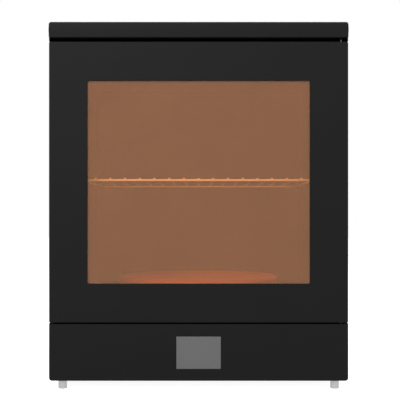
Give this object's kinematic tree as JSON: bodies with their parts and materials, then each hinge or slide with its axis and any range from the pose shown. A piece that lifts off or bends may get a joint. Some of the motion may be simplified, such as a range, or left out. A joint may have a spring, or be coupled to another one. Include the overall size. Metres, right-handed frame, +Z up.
{
  "type": "light curing unit",
  "caption": "Benchtop light curing cabinet: hinged door with amber window, wire rack, motor turntable, light modules and a control fascia with touch screen.",
  "frame": {"origin": "on the bench under the middle of the bounding box", "axes": "+Z up, -Y towards the person at the door, +X to that person's right"},
  "size_m": [0.393, 0.385, 0.4821],
  "materials": {
    "housing_paint": "fine matte powder coat",
    "screen_glass": "plain dark grey touch glass, off",
    "electronics_plastic": "moulded",
    "foot_metal": "turned, satin",
    "screw_steel": "zinc plated",
    "pin_steel": "ground",
    "chamber_lining": "plain grey stove enamel",
    "clear_cover": "clear acrylic",
    "circuit_board": "solder mask",
    "led_package": "diode package",
    "heatsink_metal": "extruded",
    "rack_wire": "bright plated wire",
    "black_plastic": "moulded",
    "amber_pane": "tinted acrylic that stops the curing light",
    "seal_rubber": "soft extruded",
    "disc_metal": "satin plate",
    "contact_brass": "plain"
  },
  "bodies": {
    "root": {"base_plate": "housing_paint", "left_side_panel": "housing_paint", "right_side_panel": "housing_paint", "rear_panel": "housing_paint", "top_plate": "housing_paint", "top_cover": "housing_paint", "front_bezel": "housing_paint", "lower_fascia": "housing_paint", "touch_screen": "screen_glass", "display_module": "electronics_plastic", "feet": "foot_metal", "foot_screws": "screw_steel", "panel_screws": "screw_steel", "chamber_floor": "chamber_lining", "chamber_left_wall": "chamber_lining", "chamber_right_wall": "chamber_lining", "chamber_rear_wall": "chamber_lining", "chamber_ceiling": "chamber_lining", "led_covers": "clear_cover", "led_boards": "circuit_board", "led_chips": "led_package", "led_heatsink_left": "heatsink_metal", "led_heatsink_right": "heatsink_metal", "led_heatsink_top": "heatsink_metal", "rack_pegs": "screw_steel", "hinge_brackets": "screw_steel", "hinge_pins": "pin_steel", "thrust_washer": "pin_steel", "door_seal": "seal_rubber", "magnet_catches": "black_plastic", "reed_sensor": "electronics_plastic", "bearing_housing": "heatsink_metal", "turntable_bearings": "pin_steel", "gear_motor": "heatsink_metal", "motor_bracket": "screw_steel", "main_board": "circuit_board", "board_standoffs": "contact_brass", "power_supply": "heatsink_metal", "fan_frame": "black_plastic", "fan_guard": "screw_steel", "fan_screws": "screw_steel", "power_inlet": "black_plastic", "inlet_pins": "contact_brass", "switch_housing": "black_plastic"},
    "rack": {"rack_frame": "rack_wire", "rack_wires": "rack_wire"},
    "door": {"door_skin": "housing_paint", "door_window": "amber_pane", "window_clamp": "black_plastic", "door_liner": "housing_paint", "door_screws": "screw_steel", "hinge_blocks": "black_plastic"},
    "turntable": {"turntable_disc": "disc_metal", "turntable_hub": "heatsink_metal", "hub_screws": "screw_steel", "turntable_shaft": "pin_steel", "shaft_coupling": "heatsink_metal", "motor_shaft": "pin_steel"},
    "fan_wheel": {"fan_rotor": "black_plastic"},
    "rocker": {"power_rocker": "black_plastic"}
  },
  "joints": [
    {"name": "door_hinge", "type": "hinge", "parent": "root", "child": "door", "pos_m": [0.1875, -0.1825, 0.272], "axis": [0, 0, 1], "range_deg": [0, 120]},
    {"name": "turntable_spin", "type": "hinge", "parent": "root", "child": "turntable", "pos_m": [0, 0, 0.1345], "axis": [0, 0, 1], "continuous": true},
    {"name": "rack_lift", "type": "slide", "parent": "root", "child": "rack", "axis": [0, 0, 1], "range_m": [0, 0.12]},
    {"name": "fan_spin", "type": "hinge", "parent": "root", "child": "fan_wheel", "pos_m": [-0.105, 0.1745, 0.062], "axis": [0, 1, 0], "continuous": true},
    {"name": "rocker_tip", "type": "hinge", "parent": "root", "child": "rocker", "pos_m": [0.062, 0.185, 0.062], "axis": [1, 0, 0], "range_deg": [0, 14]}
  ]
}
